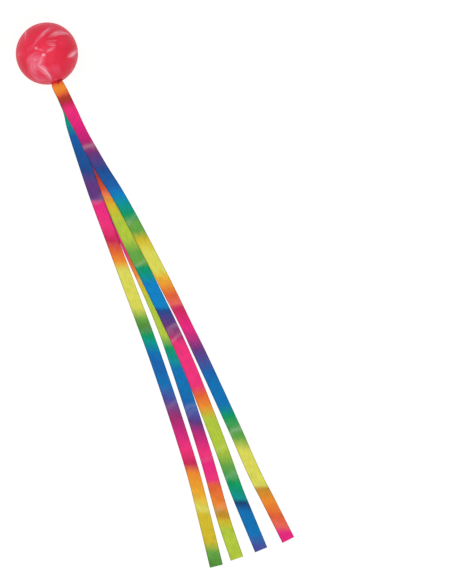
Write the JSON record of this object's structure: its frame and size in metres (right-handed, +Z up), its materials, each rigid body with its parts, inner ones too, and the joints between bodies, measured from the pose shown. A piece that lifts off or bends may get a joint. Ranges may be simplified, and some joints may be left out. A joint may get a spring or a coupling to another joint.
{
  "type": "ribbon ball",
  "caption": "Hollow marbled vinyl ball with long rainbow-dyed satin ribbon tails drawn out of one hole, lying flat on a table.",
  "frame": {"origin": "the middle of the small flat where the soft ball rests on the table, under the middle of the ball", "axes": "+Z up from the table; the hole in the ball faces -Y and the tails run out along -Y; +X is to the right when the ball is at the top and the tails at the bottom, seen from above"},
  "size_m": [0.0948, 0.55, 0.0599],
  "materials": {
    "marbled_vinyl": "satin",
    "nylon": "satin",
    "sewing_thread": "matte",
    "rainbow_satin": "satin"
  },
  "bodies": {
    "ball": {"ball_shell": "marbled_vinyl", "retaining_washer": "nylon", "anchor_knot": "rainbow_satin", "binding_thread": "sewing_thread", "ribbon_1_root": "rainbow_satin", "ribbon_2_root": "rainbow_satin", "ribbon_3_root": "rainbow_satin", "ribbon_4_root": "rainbow_satin"},
    "neck": {"gathered_neck": "rainbow_satin"},
    "tail_1": {"ribbon_1": "rainbow_satin"},
    "tail_2": {"ribbon_2": "rainbow_satin"},
    "tail_3": {"ribbon_3": "rainbow_satin"},
    "tail_4": {"ribbon_4": "rainbow_satin"}
  },
  "joints": [
    {"name": "tails_lift", "type": "hinge", "parent": "ball", "child": "neck", "pos_m": [0, -0.03032, 0.03638], "axis": [-1, 0, 0], "range_deg": [-60, 80]},
    {"name": "ribbon_1_sweep", "type": "hinge", "parent": "neck", "child": "tail_1", "pos_m": [0, -0.03032, 0.03638], "axis": [0, 0, 1], "range_deg": [-40, 40]},
    {"name": "ribbon_2_sweep", "type": "hinge", "parent": "neck", "child": "tail_2", "pos_m": [0, -0.03032, 0.03638], "axis": [0, 0, 1], "range_deg": [-40, 40]},
    {"name": "ribbon_3_sweep", "type": "hinge", "parent": "neck", "child": "tail_3", "pos_m": [0, -0.03032, 0.03638], "axis": [0, 0, 1], "range_deg": [-40, 40]},
    {"name": "ribbon_4_sweep", "type": "hinge", "parent": "neck", "child": "tail_4", "pos_m": [0, -0.03032, 0.03638], "axis": [0, 0, 1], "range_deg": [-40, 40]}
  ]
}
